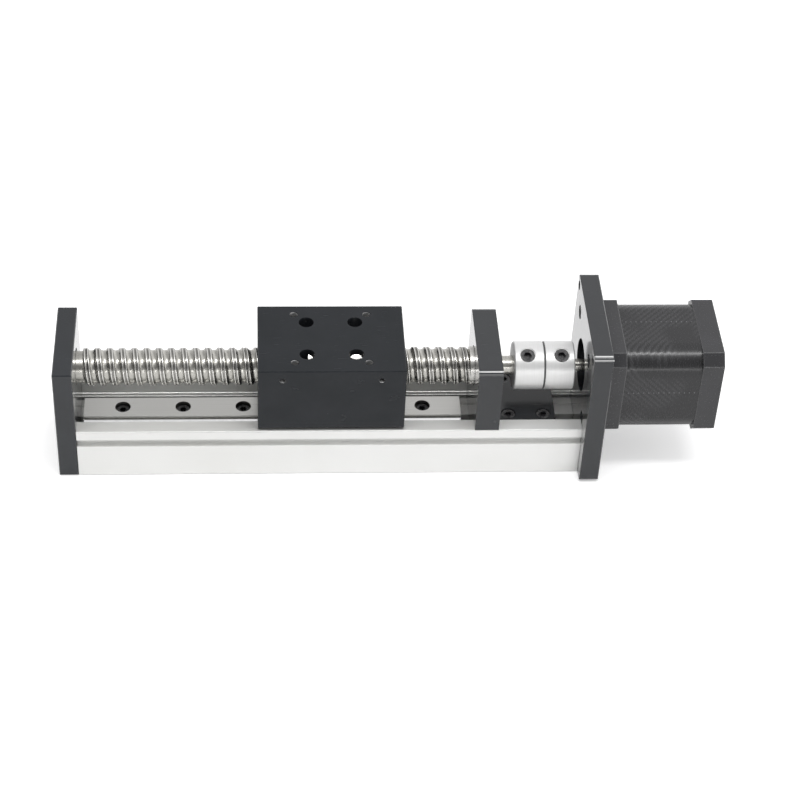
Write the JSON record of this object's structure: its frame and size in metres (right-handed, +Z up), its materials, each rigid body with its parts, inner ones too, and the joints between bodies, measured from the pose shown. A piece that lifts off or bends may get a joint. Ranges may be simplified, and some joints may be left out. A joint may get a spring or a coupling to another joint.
{
  "type": "ball screw linear module",
  "caption": "Motor-driven linear module: a stepping motor turns a ball screw through a shaft coupling and moves a carriage along a rail recessed in an extruded aluminium base.",
  "frame": {"origin": "middle of the base profile's underside, with the carriage half way along the profile", "axes": "+X along the screw towards the motor, +Z up from the base to the carriage, +Y to the back"},
  "size_m": [0.271, 0.0556, 0.068],
  "materials": {
    "clear_anodised_aluminium": "satin clear anodised extrusion with fine die lines",
    "black_anodised_aluminium": "satin black anodised, finely machined",
    "ground_guide_steel": "ground bearing steel",
    "end_cap_plastic": "moulded",
    "seal_rubber": "matte nitrile rubber",
    "wiper_plastic": "moulded",
    "polished_balls": "polished steel",
    "bearing_steel": "ground",
    "screw_steel": "rolled and polished",
    "bright_aluminium": "turned, clear anodised",
    "insert_plastic": "dark polymer",
    "motor_cap_aluminium": "black coated die casting",
    "lamination_steel": "black coated lamination edges",
    "rotor_steel": "ground laminations",
    "connector_plastic": "moulded ivory plastic",
    "zinc_steel": "zinc plated",
    "spring_steel": "phosphated",
    "fastener_steel": "black oxide"
  },
  "bodies": {
    "base": {"base_profile": "clear_anodised_aluminium", "end_plate": "black_anodised_aluminium", "end_plate_screws": "fastener_steel", "motor_plate": "black_anodised_aluminium", "motor_plate_screws": "fastener_steel", "bearing_block": "black_anodised_aluminium", "bearing_block_screws": "fastener_steel", "linear_rail": "ground_guide_steel", "rail_screws": "fastener_steel", "rail_nuts": "zinc_steel", "floating_bearing_outer": "bearing_steel", "floating_bearing_balls": "polished_balls", "fixed_bearing_outer": "bearing_steel", "fixed_bearing_balls": "polished_balls", "bore_retaining_ring": "spring_steel", "motor_front_cap": "motor_cap_aluminium", "motor_stack": "lamination_steel", "motor_rear_cap": "motor_cap_aluminium", "motor_connector": "connector_plastic", "motor_mount_screws": "fastener_steel", "motor_tie_screws": "fastener_steel", "motor_bearing_outers": "bearing_steel", "motor_bearing_balls": "polished_balls"},
    "screw": {"ball_screw": "screw_steel", "floating_bearing_inner": "bearing_steel", "fixed_bearing_inner": "bearing_steel", "shaft_retaining_ring": "spring_steel", "coupling_screw_hub": "bright_aluminium", "coupling_motor_hub": "bright_aluminium", "coupling_insert": "insert_plastic", "coupling_set_screws": "fastener_steel", "motor_shaft": "screw_steel", "motor_rotor": "rotor_steel", "motor_bearing_inners": "bearing_steel"},
    "carriage": {"carriage_block": "black_anodised_aluminium", "carriage_screws": "fastener_steel", "guide_block": "ground_guide_steel", "guide_end_caps": "end_cap_plastic", "guide_end_seals": "seal_rubber", "guide_balls": "polished_balls", "ball_nut": "screw_steel", "nut_balls": "polished_balls", "nut_wipers": "wiper_plastic", "nut_retaining_ring": "spring_steel", "nut_lock_screws": "fastener_steel"}
  },
  "joints": [
    {"name": "screw_turn", "type": "hinge", "parent": "base", "child": "screw", "pos_m": [0, 0, 0.041], "axis": [1, 0, 0], "range_deg": [-2016.2, 5184.2]},
    {"name": "carriage_slide", "type": "slide", "parent": "base", "child": "carriage", "axis": [1, 0, 0], "range_m": [-0.072, 0.028]}
  ],
  "couplings": [
    {"joint": "screw_turn", "follows": "carriage_slide", "rad_per_m": -1256.6}
  ]
}
